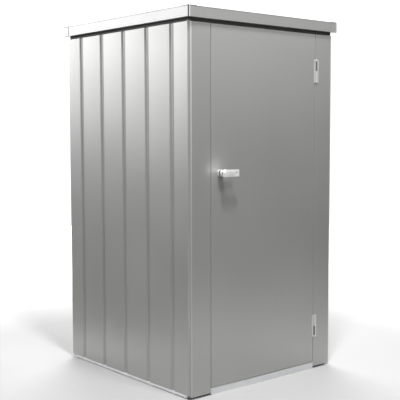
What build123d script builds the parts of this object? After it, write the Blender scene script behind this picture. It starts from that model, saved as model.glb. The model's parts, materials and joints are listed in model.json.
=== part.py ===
from build123d import *
from math import atan2, degrees, radians, sin
import os

os.makedirs("parts", exist_ok=True)

# Patio storage cabinet of folded sheet steel with one hinged door.
# X runs to the right, Y to the rear and Z up, in millimetres.
# The origin lies on the ground at the middle of the walls.

# Overall sizes over the walls and the roof
width = 975.0
depth = 1042.0
height = 1825.0
overhang = 18.0
fascia_height = 52.0
vent_gap = 17.0
wall_base = 10.0

# Sheet gauges and bends
sheet = 1.0
door_sheet = 1.2
frame_gauge = 1.5
base_gauge = 2.0
bend = 2.0

# Clearances
seat = 0.3
pin_clearance = 0.05
bearing_clearance = 0.08
square_clearance = 0.1
slide_clearance = 0.35
hole_clearance = 0.5
overrun = 20.0

# Grooves pressed into the walls and the roof
groove_width = 29.0
groove_floor = 12.0
groove_depth = 7.5
groove_bend = 3.0
groove_pitch = 195.0
groove_end_margin = 120.0
roof_groove_margin = 45.0

# Jambs and the joint with the side walls
jamb_width = 130.0
jamb_return = 31.0
stop_flange = 14.0
jamb_inset = 6.0
jamb_corner = 4.0
joint_depth = 6.5
joint_slope = 4.5
jamb_joint_flange = 14.0
wall_joint_flange = 20.0
rear_corner = 10.0
rear_return = 14.0
rear_joint_gap = 2.0
post_leg = 40.0

# Door
door_gap = 2.0
door_bottom = 34.0
door_depth = 28.0
door_lip = 15.0
stiffener_width = 64.0
stiffener_crown = 24.0
stiffener_foot = 14.0
stiffener_depth = 22.0
stiffener_from_lock = 48.0
stiffener_height_shares = (0.16, 0.44, 0.84)

# Base frame
rail_flange = 50.0
rail_height = 60.0
rail_top_flange = 15.0
front_rail_height = 44.0
sill_setback = 1.0
anchor_hole = 9.0
anchor_in = 32.0
anchor_end = 101.0
cleat_leg = 38.0
cleat_height = 36.0

# Frame inside the wall tops
top_rail_height = 50.0
top_rail_flange = 25.0
header_lift = 3.0
header_nose = 8.0
header_foot = 22.0

# Roof
cap_gauge = 1.2
cap_leg = 50.0
cap_corner = 6.0
cap_lip = 10.0
fascia_top_flange = 30.0
fascia_return = 45.0
fascia_mitre_gap = 8.0
roof_margin = 11.5
bracket_length = 60.0
bracket_leg = 20.0
bracket_front_share = 0.4
bracket_rear_share = 0.62
bracket_side_share = 0.68
vent_strip_thickness = 4.0
vent_apron_thickness = 1.5
vent_apron_lift = 2.0

# Shelves
shelf_lower_level = 620.0
shelf_upper_level = 1160.0
shelf_depth = 450.0
shelf_edge = 25.0
shelf_angle_leg = 25.0
shelf_angle_foot = 20.0

# Hinges, measured from the right jamb's edge and the front face
hinge_axis_from_seam = 5.25
hinge_axis_out = 4.3
hinge_height = 118.0
hinge_below_top = 130.0
hinge_above_bottom = 137.0
knuckle_radius = 4.0
knuckle_length = 60.0
eye_length = 8.0
bush_radius = 3.8
hinge_pin_radius = 2.5
leaf_thickness = 2.5
leaf_inner = 4.85
door_leaf_outer = 15.75
jamb_leaf_outer = 17.35
eye_web_low = 0.5
eye_web_high = 3.5
hinge_bolt_radius = 2.0
hinge_bolt_head_radius = 3.2
hinge_bolt_head = 2.6
hinge_bolt_spread = 76.0
door_bolt_from_axis = 12.25
jamb_bolt_from_axis = 11.0

# Handle, measured from the left jamb's edge and outward from the front face
handle_from_seam = 56.0
handle_z = 1060.0
hub_radius = 17.0
rose_height = 12.0
neck_radius = 12.5
journal_radius = 8.0
collar_start = 17.0
collar_end = 36.0
lever_start = 40.0
lever_end = 51.0
lever_height = 33.5
lever_back = 17.3
lever_split = 39.0
lever_reach = 79.2
lever_radius = 2.0
end_cap_relief = 0.5
end_screw_from_axis = 66.0
end_screw_radius = 4.5
end_screw_socket = 2.5
end_screw_sink = 1.0
end_screw_shank = 2.5
end_screw_length = 7.0
hub_chamfer = 1.0

# Lock, measured inward from the front face
bearing_width = 46.0
bearing_height = 70.0
bearing_plate = 3.0
bearing_boss = 12.0
journal_end = 9.0
spindle_square = 8.0
spindle_hidden = 38.0
spindle_thread_radius = 3.0
spindle_end = 43.0
nut_across_flats = 10.0
nut_height = 5.0
cam_radius = 22.0
cam_start = 19.0
cam_end = 22.0
cam_boss_radius = 7.0
cam_pin_radius = 2.5
cam_pin_start = 13.0
cam_half_width = 9.5
cam_rest_angle = 45.0
tongue_start = 33.5
tongue_end = 36.5
tongue_width = 18.0
tongue_reach = 52.0
tongue_back = 10.0

# Lock rods, guides and keepers
rod_start = 14.0
rod_end = 18.0
rod_width = 14.0
rod_offset = 19.0
yoke_width = 20.0
yoke_height = 18.0
slot_slack_share = 0.03
slot_running = 0.4
rod_rest_below_top = 18.0
rod_rest_above_bottom = 4.0
rod_tip_bevel = 2.0
guide_width = 36.0
guide_height = 24.0
guide_end = 22.0
guide_from_edge = 60.0
keeper_width = 40.0
keeper_thickness = 3.0
keeper_front = 10.0
keeper_back = 30.0

# Places worked out from the sizes above
left = -width / 2
right = width / 2
front = -depth / 2
back = depth / 2
roof_half_width = width / 2 + overhang
roof_half_depth = depth / 2 + overhang
roof_bottom = height - fascia_height
wall_top = roof_bottom - vent_gap
frame_inset = groove_depth + sheet + seat
opening_left = left + jamb_width
opening_right = right - jamb_width
door_left = opening_left + door_gap
door_right = opening_right - door_gap
sill_height = door_bottom - door_gap
handle_x = opening_left + handle_from_seam
hinge_x = opening_right + hinge_axis_from_seam
hinge_y = front - hinge_axis_out
hinge_upper_bottom = wall_top - hinge_below_top - hinge_height
hinge_lower_bottom = door_bottom + hinge_above_bottom
behind_stop = jamb_return + sheet + seat
shelf_levels = (shelf_lower_level, shelf_upper_level)
up = Vector(0, 0, 1)
side_inward = {
    "front": Vector(0, 1, 0),
    "rear": Vector(0, -1, 0),
    "left": Vector(1, 0, 0),
    "right": Vector(-1, 0, 0),
}


def finish(builder, label):
    builder.part.label = label
    export_step(builder.part, "parts/" + label + ".step")
    print(label, round(builder.part.volume))


def block(x_from, x_to, y_from, y_to, z_from, z_to, mode=Mode.ADD):
    # A box between two corners, added to the piece being made.
    with Locations(((x_from + x_to) / 2, (y_from + y_to) / 2, (z_from + z_to) / 2)):
        Box(x_to - x_from, y_to - y_from, z_to - z_from, mode=mode)


def groove_points(centre):
    # Distance along the sheet and depth below its face, across one groove.
    half = groove_width / 2
    floor = groove_floor / 2
    return [
        (centre - half, 0),
        (centre - floor, groove_depth),
        (centre + floor, groove_depth),
        (centre + half, 0),
    ]


def groove_count(length):
    return int((length - 2 * groove_end_margin) / groove_pitch) + 1


def centred_grooves(length):
    points = []
    count = groove_count(length)
    for index in range(count):
        points += groove_points((index - (count - 1) / 2) * groove_pitch)
    return points


def upright_sheet(path, radii, gauge, bottom, top):
    # A folded upright sheet: its plan is drawn along the outer face.
    with BuildPart() as folded:
        with BuildSketch(Plane.XY.offset(bottom)):
            with BuildLine():
                FilletPolyline(*path, radius=radii)
                offset(amount=gauge, side=Side.RIGHT)
            make_face()
        extrude(amount=top - bottom)
    return folded


def mirrored(builder):
    with BuildPart() as other:
        mirror(builder.part, about=Plane.YZ)
    return other


def rail(profile, side, half, start, stop, mitre_in=None, gap=seat, mitred=(-1, 1)):
    # A straight profile along one side of the cabinet. The profile's points are
    # (distance inward from the plane at half, height). With mitre_in, the mitred
    # ends are cut at 45 degrees from that distance inward.
    inward = side_inward[side]
    along = inward.cross(up)
    plane = Plane(origin=inward * -half, x_dir=inward, z_dir=along)
    with BuildPart() as run:
        with BuildSketch(plane.offset(start)):
            with BuildLine():
                Polyline(*profile, close=True)
            make_face()
        extrude(amount=stop - start)
        if mitre_in is not None:
            for direction in mitred:
                end = start if direction < 0 else stop
                normal = (along * direction + inward).normalized()
                corner = inward * (mitre_in - half) + along * end - normal * (gap / 2)
                split(bisect_by=Plane(origin=corner, z_dir=normal), keep=Keep.BOTTOM)
    return run


def face_plane(x, z, out):
    # A plane parallel to the front, a distance out from the front face.
    return Plane(origin=(x, front - out, z), x_dir=(1, 0, 0), z_dir=(0, -1, 0))


def disc(x, z, radius, out_from, out_to, mode=Mode.ADD):
    with BuildSketch(face_plane(x, z, out_from)) as outline:
        Circle(radius)
    extrude(outline.sketch, amount=out_to - out_from, mode=mode)


# Left wall: a flange and a slope at the front joint, five grooves and a rounded rear corner.
jamb_side = left + jamb_inset
wall_path = [
    (left + wall_joint_flange, front + joint_depth),
    (jamb_side, front + joint_depth),
    (left, front + joint_depth + joint_slope),
]
for along, inset in centred_grooves(depth):
    wall_path.append((left + inset, along))
wall_path += [(left, back), (left + rear_return, back)]
wall_radii = [bend, bend] + [groove_bend] * len(centred_grooves(depth)) + [rear_corner]
wall_left = upright_sheet(wall_path, wall_radii, sheet, wall_base, wall_top)
finish(wall_left, "wall_left")
finish(mirrored(wall_left), "wall_right")

# Rear wall: a flat sheet with four grooves between the side walls' returns.
rear_edge = rear_return + rear_joint_gap
rear_path = [(left + rear_edge, back)]
for along, inset in centred_grooves(width):
    rear_path.append((along, back - inset))
rear_path.append((right - rear_edge, back))
wall_rear = upright_sheet(rear_path, groove_bend, sheet, wall_base, wall_top)
finish(wall_rear, "wall_rear")

# Left jamb: door stop, return, front face, rounded corner and joint flange.
jamb_path = [
    (opening_left + stop_flange, front + jamb_return),
    (opening_left, front + jamb_return),
    (opening_left, front),
    (jamb_side, front),
    (jamb_side, front + joint_depth - seat),
    (jamb_side + jamb_joint_flange, front + joint_depth - seat),
]
jamb_left = upright_sheet(jamb_path, [bend, bend, jamb_corner, bend], sheet, wall_base, wall_top)
finish(jamb_left, "jamb_left")

# Right jamb: the same sheet mirrored, with square holes for the hinge bolts.
hinge_bottoms = (hinge_lower_bottom, hinge_upper_bottom)
bolt_levels = []
for hinge_bottom in hinge_bottoms:
    for direction in (-1, 1):
        bolt_levels.append(hinge_bottom + hinge_height / 2 + direction * hinge_bolt_spread / 2)
bolt_hole = 2 * (hinge_bolt_radius + hole_clearance)
with BuildPart() as jamb_right:
    mirror(jamb_left.part, about=Plane.YZ)
    for level in bolt_levels:
        with Locations((hinge_x + jamb_bolt_from_axis, front, level)):
            Box(bolt_hole, overrun, bolt_hole, mode=Mode.SUBTRACT)
finish(jamb_right, "jamb_right")

# Rear corner posts: angles that tie the side walls' returns to the rear wall.
post_path = [
    (left + sheet + seat, back - sheet - seat - post_leg),
    (left + sheet + seat, back - sheet - seat),
    (left + sheet + seat + post_leg, back - sheet - seat),
]
corner_post = upright_sheet(post_path, rear_corner, frame_gauge, wall_base, wall_top - seat)
finish(corner_post, "corner_post_rear_left")
finish(mirrored(corner_post), "corner_post_rear_right")

# Base frame: mitred rails with a foot flange, joined by corner cleats.
base_profile = [
    (frame_inset, 0),
    (frame_inset + rail_flange, 0),
    (frame_inset + rail_flange, base_gauge),
    (frame_inset + base_gauge, base_gauge),
    (frame_inset + base_gauge, rail_height - base_gauge),
    (frame_inset + rail_top_flange, rail_height - base_gauge),
    (frame_inset + rail_top_flange, rail_height),
    (frame_inset, rail_height),
]
front_profile = [
    (behind_stop, 0),
    (behind_stop + rail_flange, 0),
    (behind_stop + rail_flange, base_gauge),
    (behind_stop + base_gauge, base_gauge),
    (behind_stop + base_gauge, front_rail_height),
    (behind_stop, front_rail_height),
]
base_x = width / 2 - frame_inset
base_front = depth / 2 - behind_stop
base_rear = depth / 2 - frame_inset
base_rail_front = rail(front_profile, "front", depth / 2, -base_x, base_x, behind_stop)
base_rail_rear = rail(base_profile, "rear", depth / 2, -base_x, base_x, frame_inset)
base_rail_left = rail(base_profile, "left", width / 2, -base_rear, base_front, frame_inset)
anchor_x = base_x - anchor_in
anchor_y = depth / 2 - anchor_end
with base_rail_left:
    with Locations((-anchor_x, -anchor_y, base_gauge / 2), (-anchor_x, anchor_y, base_gauge / 2)):
        Cylinder(anchor_hole / 2, overrun, mode=Mode.SUBTRACT)
finish(base_rail_front, "base_rail_front")
finish(base_rail_rear, "base_rail_rear")
finish(base_rail_left, "base_rail_left")
finish(mirrored(base_rail_left), "base_rail_right")

with BuildPart() as base_corner_cleats:
    cleat_x = base_x - base_gauge - seat
    cleat_bottom = base_gauge + seat
    for direction in (-1, 1):
        for cleat_y, turn in ((base_gauge + seat - base_front, 1), (base_rear - base_gauge - seat, -1)):
            x_in = direction * (cleat_x - cleat_leg)
            x_web = direction * (cleat_x - base_gauge)
            x_out = direction * cleat_x
            y_in = cleat_y + turn * cleat_leg
            y_web = cleat_y + turn * base_gauge
            block(min(x_in, x_out), max(x_in, x_out), min(cleat_y, y_web), max(cleat_y, y_web),
                  cleat_bottom, cleat_bottom + cleat_height)
            block(min(x_web, x_out), max(x_web, x_out), min(cleat_y, y_in), max(cleat_y, y_in),
                  cleat_bottom, cleat_bottom + cleat_height)
finish(base_corner_cleats, "base_corner_cleats")

# Door sill: a light strip between the jambs with a tread, a stop lip and a keeper hole.
rod_y = front + (rod_start + rod_end) / 2
upper_rod_x = handle_x - rod_offset
lower_rod_x = handle_x + rod_offset
sill_back = jamb_return + sheet
sill_profile = [
    (sill_setback, 0),
    (sill_back, 0),
    (sill_back, base_gauge),
    (sill_setback + base_gauge, base_gauge),
    (sill_setback + base_gauge, sill_height - base_gauge),
    (sill_back, sill_height - base_gauge),
    (sill_back, front_rail_height),
    (sill_back - base_gauge, front_rail_height),
    (sill_back - base_gauge, sill_height),
    (sill_setback, sill_height),
]
sill_left = opening_left + seat
sill_right = opening_right - seat
base_sill_front = rail(sill_profile, "front", depth / 2, sill_left, sill_right)
with base_sill_front:
    notch_front = front + jamb_return - base_gauge - seat
    for notch_left, notch_right in (
        (opening_left - overrun, opening_left + stop_flange + seat),
        (opening_right - stop_flange - seat, opening_right + overrun),
    ):
        block(notch_left, notch_right, notch_front, front + jamb_return + overrun,
              -overrun, front_rail_height + overrun, Mode.SUBTRACT)
    with Locations((lower_rod_x, rod_y, sill_height)):
        Box(rod_width + 2 * (hole_clearance + slide_clearance),
            rod_end - rod_start + 2 * (hole_clearance + slide_clearance), overrun, mode=Mode.SUBTRACT)
finish(base_sill_front, "base_sill_front")

# Frame inside the wall tops: header with the upper keeper hole, and three rails.
header_top = wall_top + header_lift + frame_gauge
header_drop = header_lift + top_rail_height + seat + 3 * frame_gauge
header_profile = [
    (header_nose, header_top - frame_gauge),
    (behind_stop, header_top - frame_gauge),
    (behind_stop, header_top - header_drop),
    (behind_stop + header_foot, header_top - header_drop),
    (behind_stop + header_foot, header_top - header_drop + frame_gauge),
    (behind_stop + frame_gauge, header_top - header_drop + frame_gauge),
    (behind_stop + frame_gauge, header_top),
    (header_nose, header_top),
]
header_half = width / 2 - frame_inset
top_rail_front = rail(header_profile, "front", depth / 2, -header_half, header_half)
with top_rail_front:
    with Locations((upper_rod_x, rod_y, header_top)):
        Box(rod_width + 2 * (hole_clearance + slide_clearance),
            rod_end - rod_start + 2 * (hole_clearance + slide_clearance), overrun, mode=Mode.SUBTRACT)
finish(top_rail_front, "top_rail_front")

rail_top = wall_top - frame_gauge
top_profile = [
    (frame_inset, rail_top - top_rail_height),
    (frame_inset + frame_gauge, rail_top - top_rail_height),
    (frame_inset + frame_gauge, rail_top - frame_gauge),
    (frame_inset + top_rail_flange, rail_top - frame_gauge),
    (frame_inset + top_rail_flange, rail_top),
    (frame_inset, rail_top),
]
rail_front = depth / 2 - behind_stop - frame_gauge - seat
top_rail_rear = rail(top_profile, "rear", depth / 2, -base_x, base_x, frame_inset)
top_rail_left = rail(top_profile, "left", width / 2, -base_rear, rail_front, frame_inset, mitred=(-1,))
finish(top_rail_rear, "top_rail_rear")
finish(top_rail_left, "top_rail_left")
finish(mirrored(top_rail_left), "top_rail_right")

# Roof: fascia channels, corner caps over their ends and a panel with pressed grooves.
fascia_x = roof_half_width - cap_gauge - seat
fascia_y = roof_half_depth - cap_gauge - seat
fascia_top = height - cap_gauge - seat
fascia_profile = [
    (0, roof_bottom),
    (fascia_return, roof_bottom),
    (fascia_return, roof_bottom + sheet),
    (sheet, roof_bottom + sheet),
    (sheet, fascia_top - sheet),
    (fascia_top_flange, fascia_top - sheet),
    (fascia_top_flange, fascia_top),
    (0, fascia_top),
]
for side, half, reach in (
    ("front", fascia_y, fascia_x),
    ("rear", fascia_y, fascia_x),
    ("left", fascia_x, fascia_y),
    ("right", fascia_x, fascia_y),
):
    finish(rail(fascia_profile, side, half, -reach, reach, 0, fascia_mitre_gap), "fascia_" + side)

with BuildPart() as roof_corner:
    block(-roof_half_width, -roof_half_width + cap_leg, -roof_half_depth, -roof_half_depth + cap_leg,
          roof_bottom, height)
    fillet(roof_corner.edges().filter_by(Axis.Z).sort_by(Axis((0, 0, 0), (1, 1, 0)))[0], cap_corner)
    with BuildSketch(Plane.XY.offset(roof_bottom - overrun)):
        with Locations((-roof_half_width + cap_gauge, -roof_half_depth + cap_gauge)):
            cap_hollow = Rectangle(cap_leg, cap_leg, align=(Align.MIN, Align.MIN))
        fillet(cap_hollow.vertices().sort_by(Axis((0, 0, 0), (1, 1, 0)))[0], cap_corner - cap_gauge)
    extrude(amount=fascia_height + overrun - cap_gauge, mode=Mode.SUBTRACT)
    block(-roof_half_width + cap_lip, 0, -roof_half_depth + cap_lip, 0,
          roof_bottom - overrun, height + overrun, Mode.SUBTRACT)
finish(roof_corner, "roof_corner_front_left")
finish(mirrored(roof_corner), "roof_corner_front_right")
with BuildPart() as roof_corner_rear:
    mirror(roof_corner.part, about=Plane.XZ)
finish(roof_corner_rear, "roof_corner_rear_left")
finish(mirrored(roof_corner_rear), "roof_corner_rear_right")

panel_x = 2 * (roof_half_width - roof_margin)
panel_y = 2 * (roof_half_depth - roof_margin)
panel_bottom = fascia_top + seat / 2
panel_top = panel_bottom + sheet
groove_length = panel_y - 2 * roof_groove_margin
groove_taper = degrees(atan2((groove_width - groove_floor) / 2, groove_depth))
with BuildPart() as roof_panel:
    with Locations((0, 0, (panel_bottom + panel_top) / 2)):
        Box(panel_x, panel_y, sheet)
    for level, mode in ((panel_bottom, Mode.ADD), (panel_top, Mode.SUBTRACT)):
        with BuildSketch(Plane(origin=(0, 0, level), x_dir=(1, 0, 0), z_dir=(0, 0, -1))):
            with GridLocations(groove_pitch, 0, groove_count(width), 1):
                Rectangle(groove_width, groove_length)
        extrude(amount=groove_depth, taper=groove_taper, mode=mode)
finish(roof_panel, "roof_panel")

# Ventilation strip: a dark ring of open foam between the frame and the fascias' returns,
# with a thin apron in front of the header's nose.
bracket_top = roof_bottom - seat
strip_in = frame_inset + seat
strip_front = front + header_nose - seat - vent_apron_thickness
bracket_in = strip_in + vent_strip_thickness + seat
strip_right = right - strip_in
hollow_right = strip_right - vent_strip_thickness
with BuildPart() as roof_vent_strip:
    block(-strip_right, strip_right, strip_front, back - strip_in, rail_top + seat, bracket_top)
    block(-strip_right - overrun, strip_right + overrun, strip_front - overrun, -rail_front,
          rail_top - overrun, header_top + seat, Mode.SUBTRACT)
    block(-hollow_right, hollow_right, front + keeper_front - seat,
          back - strip_in - vent_strip_thickness, rail_top - overrun, bracket_top + overrun, Mode.SUBTRACT)
    block(-strip_right, strip_right, strip_front, strip_front + vent_apron_thickness,
          wall_top + vent_apron_lift, bracket_top)
finish(roof_vent_strip, "roof_vent_strip")

# Roof brackets: channels that stand on the frame and carry the fascias' returns.
with BuildPart() as roof_brackets:
    for side, half, foot, place in (
        ("front", depth / 2, header_top + seat, bracket_front_share * right),
        ("rear", depth / 2, rail_top + seat, bracket_rear_share * right),
        ("left", width / 2, rail_top + seat, bracket_side_share * back),
        ("right", width / 2, rail_top + seat, bracket_side_share * back),
    ):
        inward = side_inward[side]
        bracket_plane = Plane(origin=inward * -half, x_dir=inward, z_dir=inward.cross(up))
        bracket_profile = [
            (bracket_in, foot),
            (bracket_in + bracket_leg, foot),
            (bracket_in + bracket_leg, foot + frame_gauge),
            (bracket_in + frame_gauge, foot + frame_gauge),
            (bracket_in + frame_gauge, bracket_top - frame_gauge),
            (bracket_in + bracket_leg, bracket_top - frame_gauge),
            (bracket_in + bracket_leg, bracket_top),
            (bracket_in, bracket_top),
        ]
        for direction in (-1, 1):
            with BuildSketch(bracket_plane.offset(direction * place)):
                with BuildLine():
                    Polyline(*bracket_profile, close=True)
                make_face()
            extrude(amount=bracket_length / 2, both=True)
finish(roof_brackets, "roof_brackets")

# Shelves: trays with edges folded down, on angles fixed to the side walls.
shelf_half = width / 2 - frame_inset - seat
shelf_back = back - frame_inset - seat
for label, level in zip(("shelf_lower", "shelf_upper"), shelf_levels):
    with BuildPart() as shelf:
        block(-shelf_half, shelf_half, shelf_back - shelf_depth, shelf_back, level - shelf_edge, level)
        block(sheet - shelf_half, shelf_half - sheet, shelf_back - shelf_depth + sheet, shelf_back - sheet,
              level - shelf_edge - overrun, level - sheet, Mode.SUBTRACT)
    finish(shelf, label)

with BuildPart() as shelf_brackets:
    for level in shelf_levels:
        angle_top = level - shelf_edge - seat
        angle_profile = [
            (frame_inset, angle_top - shelf_angle_leg),
            (frame_inset + frame_gauge, angle_top - shelf_angle_leg),
            (frame_inset + frame_gauge, angle_top - frame_gauge),
            (frame_inset + shelf_angle_foot, angle_top - frame_gauge),
            (frame_inset + shelf_angle_foot, angle_top),
            (frame_inset, angle_top),
        ]
        for side in ("left", "right"):
            inward = side_inward[side]
            along = inward.cross(up)
            angle_plane = Plane(origin=inward * (-width / 2), x_dir=inward, z_dir=along)
            middle = along.Y * (shelf_back - shelf_depth / 2)
            with BuildSketch(angle_plane.offset(middle)):
                with BuildLine():
                    Polyline(*angle_profile, close=True)
                make_face()
            extrude(amount=shelf_depth / 2, both=True)
finish(shelf_brackets, "shelf_brackets")

# Door: one sheet folded back on all sides, with slots for the lock rods.
with BuildPart() as door_skin:
    block(door_left, door_right, front, front + door_depth, door_bottom, wall_top)
    fillet(door_skin.edges().group_by(Axis.Y)[0], bend)
    block(door_left + door_sheet, door_right - door_sheet, front + door_sheet, front + door_depth - door_sheet,
          door_bottom + door_sheet, wall_top - door_sheet, Mode.SUBTRACT)
    block(door_left + door_lip, door_right - door_lip, front + door_sheet, front + door_depth + overrun,
          door_bottom + door_lip, wall_top - door_lip, Mode.SUBTRACT)
    disc(handle_x, handle_z, journal_radius + hole_clearance, -overrun / 2, overrun / 2, Mode.SUBTRACT)
    for slot_x, slot_z in ((upper_rod_x, wall_top), (lower_rod_x, door_bottom)):
        with Locations((slot_x, rod_y, slot_z)):
            Box(rod_width + 2 * slide_clearance, rod_end - rod_start + 2 * slide_clearance,
                2 * (door_sheet + seat), mode=Mode.SUBTRACT)
    for level in bolt_levels:
        with Locations((hinge_x - door_bolt_from_axis, front, level)):
            Box(bolt_hole, overrun, bolt_hole, mode=Mode.SUBTRACT)
finish(door_skin, "door_skin")

stiffener_left = handle_x + stiffener_from_lock
stiffener_right = door_right - door_sheet - seat
stiffener_front = front + door_sheet + seat
half_foot = stiffener_width / 2
half_root = stiffener_width / 2 - stiffener_foot
half_crown = stiffener_crown / 2
for label, share in zip(("lower", "middle", "upper"), stiffener_height_shares):
    level = door_bottom + share * (wall_top - door_bottom)
    hat_path = [
        (stiffener_front, level - half_foot),
        (stiffener_front, level - half_root),
        (stiffener_front + stiffener_depth, level - half_crown),
        (stiffener_front + stiffener_depth, level + half_crown),
        (stiffener_front, level + half_root),
        (stiffener_front, level + half_foot),
    ]
    with BuildPart() as door_stiffener:
        with BuildSketch(Plane.YZ.offset(stiffener_left)):
            with BuildLine():
                Polyline(*hat_path)
                offset(amount=sheet, side=Side.RIGHT)
            make_face()
        extrude(amount=stiffener_right - stiffener_left)
    finish(door_stiffener, "door_stiffener_" + label)

# Hinges: the jamb leaf's knuckle fills one half, a bush and the door leaf's eye the other.
# The lower hinge is the upper one turned over, so the closed door can't be lifted off.
def hinge_ring(radius, bore, z_from, z_to):
    with Locations((hinge_x, hinge_y, (z_from + z_to) / 2)):
        Cylinder(radius, z_to - z_from)
        Cylinder(bore, z_to - z_from, mode=Mode.SUBTRACT)


def hinge_span(bottom, start, length, turned_over):
    # Heights of a piece that starts a distance above the hinge's knuckle end.
    if turned_over:
        return bottom + hinge_height - start - length, bottom + hinge_height - start
    return bottom + start, bottom + start + length


bore_radius = hinge_pin_radius + pin_clearance
eye_start = hinge_height - eye_length
bush_start = knuckle_length + seat
bush_length = eye_start - seat - bush_start
hinge_places = (("upper", hinge_upper_bottom, False), ("lower", hinge_lower_bottom, True))
for label, bottom, turned_over in hinge_places:
    with BuildPart() as jamb_leaf:
        block(hinge_x + leaf_inner, hinge_x + jamb_leaf_outer, front - leaf_thickness, front,
              bottom, bottom + hinge_height)
        low, high = hinge_span(bottom, 0, knuckle_length, turned_over)
        block(hinge_x, hinge_x + jamb_leaf_outer, front - leaf_thickness, front, low, high)
        with Locations((hinge_x, hinge_y, (low + high) / 2)):
            Cylinder(knuckle_radius, high - low)
            Cylinder(bore_radius, high - low, mode=Mode.SUBTRACT)
    finish(jamb_leaf, label + "_hinge_jamb_leaf")

    with BuildPart() as door_leaf:
        block(hinge_x - door_leaf_outer, hinge_x - leaf_inner, front - leaf_thickness, front,
              bottom, bottom + hinge_height)
        low, high = hinge_span(bottom, eye_start, eye_length, turned_over)
        block(hinge_x - door_leaf_outer / 2, hinge_x, front - eye_web_high, front - eye_web_low, low, high)
        with Locations((hinge_x, hinge_y, (low + high) / 2)):
            Cylinder(knuckle_radius, high - low)
            Cylinder(bore_radius, high - low, mode=Mode.SUBTRACT)
    finish(door_leaf, label + "_hinge_door_leaf")

with BuildPart() as hinge_pins:
    for label, bottom, turned_over in hinge_places:
        with Locations((hinge_x, hinge_y, bottom + hinge_height / 2)):
            Cylinder(hinge_pin_radius, hinge_height - 2 * seat)
finish(hinge_pins, "hinge_pins")

with BuildPart() as hinge_bushes:
    for label, bottom, turned_over in hinge_places:
        low, high = hinge_span(bottom, bush_start, bush_length, turned_over)
        hinge_ring(bush_radius, bore_radius, low, high)
finish(hinge_bushes, "hinge_bushes")

for label, bolt_x, gauge in (
    ("jamb_hinge_bolts", hinge_x + jamb_bolt_from_axis, sheet),
    ("door_hinge_bolts", hinge_x - door_bolt_from_axis, door_sheet),
):
    with BuildPart() as hinge_bolts:
        for level in bolt_levels:
            disc(bolt_x, level, hinge_bolt_radius, -gauge, 0)
            with BuildSketch(face_plane(bolt_x, level, -gauge - hinge_bolt_head)):
                RegularPolygon(hinge_bolt_head_radius, 6)
            extrude(amount=hinge_bolt_head)
    finish(hinge_bolts, label)

# Handle: a fixed rose, a turning hub with two necks, and a flat lever with an end cap.
with BuildPart() as handle_rose:
    disc(handle_x, handle_z, hub_radius, 0, rose_height)
    chamfer(handle_rose.edges().group_by(Axis.Y)[0], hub_chamfer)
    disc(handle_x, handle_z, journal_radius + bearing_clearance, -overrun, rose_height + overrun, Mode.SUBTRACT)
finish(handle_rose, "handle_rose")


def spindle_hole(out_from, out_to):
    # The square hole for the spindle, cut through the piece being made.
    with BuildSketch(face_plane(handle_x, handle_z, out_from)) as outline:
        Rectangle(spindle_square + 2 * square_clearance, spindle_square + 2 * square_clearance)
    extrude(outline.sketch, amount=out_to - out_from, mode=Mode.SUBTRACT)


with BuildPart() as handle_hub:
    disc(handle_x, handle_z, hub_radius, collar_start, collar_end)
    disc(handle_x, handle_z, neck_radius, rose_height + seat, collar_start)
    disc(handle_x, handle_z, neck_radius, collar_end, lever_start)
    disc(handle_x, handle_z, journal_radius, -journal_end, rose_height + seat)
    spindle_hole(-journal_end - overrun, spindle_hidden + seat)
finish(handle_hub, "handle_hub")

with BuildPart() as handle_lever:
    block(handle_x - lever_back, handle_x + lever_split - seat / 2, front - lever_end, front - lever_start,
          handle_z - lever_height / 2, handle_z + lever_height / 2)
    fillet(handle_lever.edges().filter_by(Axis.Y).group_by(Axis.X)[0], lever_radius)
    chamfer(handle_lever.edges().group_by(Axis.Y)[0], hub_chamfer / 2)
finish(handle_lever, "handle_lever")

cap_out = lever_end - end_cap_relief
with BuildPart() as handle_end_cap:
    block(handle_x + lever_split + seat / 2, handle_x + lever_reach, front - cap_out, front - lever_start,
          handle_z - lever_height / 2, handle_z + lever_height / 2)
    fillet(handle_end_cap.edges().filter_by(Axis.Y).group_by(Axis.X)[-1], lever_radius)
    chamfer(handle_end_cap.edges().group_by(Axis.Y)[0], hub_chamfer / 2)
    screw_x = handle_x + end_screw_from_axis
    disc(screw_x, handle_z, end_screw_radius + pin_clearance, cap_out - 2 * end_screw_sink - seat,
         cap_out + overrun, Mode.SUBTRACT)
    disc(screw_x, handle_z, end_screw_shank + pin_clearance, cap_out - end_screw_length - seat,
         cap_out, Mode.SUBTRACT)
finish(handle_end_cap, "handle_end_cap")

with BuildPart() as handle_end_screw:
    disc(screw_x, handle_z, end_screw_radius, cap_out - 2 * end_screw_sink, cap_out - end_screw_sink / 2)
    disc(screw_x, handle_z, end_screw_shank, cap_out - end_screw_length, cap_out - 2 * end_screw_sink)
    with BuildSketch(face_plane(screw_x, handle_z, cap_out - 2 * end_screw_sink + seat)):
        RegularPolygon(end_screw_socket, 6)
    extrude(amount=overrun, mode=Mode.SUBTRACT)
finish(handle_end_screw, "handle_end_screw")

# Lock: a square spindle turns a cam plate with two pins and a tongue.
with BuildPart() as handle_spindle:
    with BuildSketch(face_plane(handle_x, handle_z, -tongue_end)):
        Rectangle(spindle_square, spindle_square)
    extrude(amount=tongue_end + spindle_hidden)
    disc(handle_x, handle_z, spindle_thread_radius, -spindle_end, -tongue_end)
finish(handle_spindle, "handle_spindle")

with BuildPart() as lock_bearing_plate:
    plate_in = door_sheet
    block(handle_x - bearing_width / 2, handle_x + bearing_width / 2, front + plate_in,
          front + plate_in + bearing_plate, handle_z - bearing_height / 2, handle_z + bearing_height / 2)
    disc(handle_x, handle_z, bearing_boss, -journal_end, -plate_in)
    disc(handle_x, handle_z, journal_radius + bearing_clearance, -overrun, overrun, Mode.SUBTRACT)
finish(lock_bearing_plate, "lock_bearing_plate")

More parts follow.
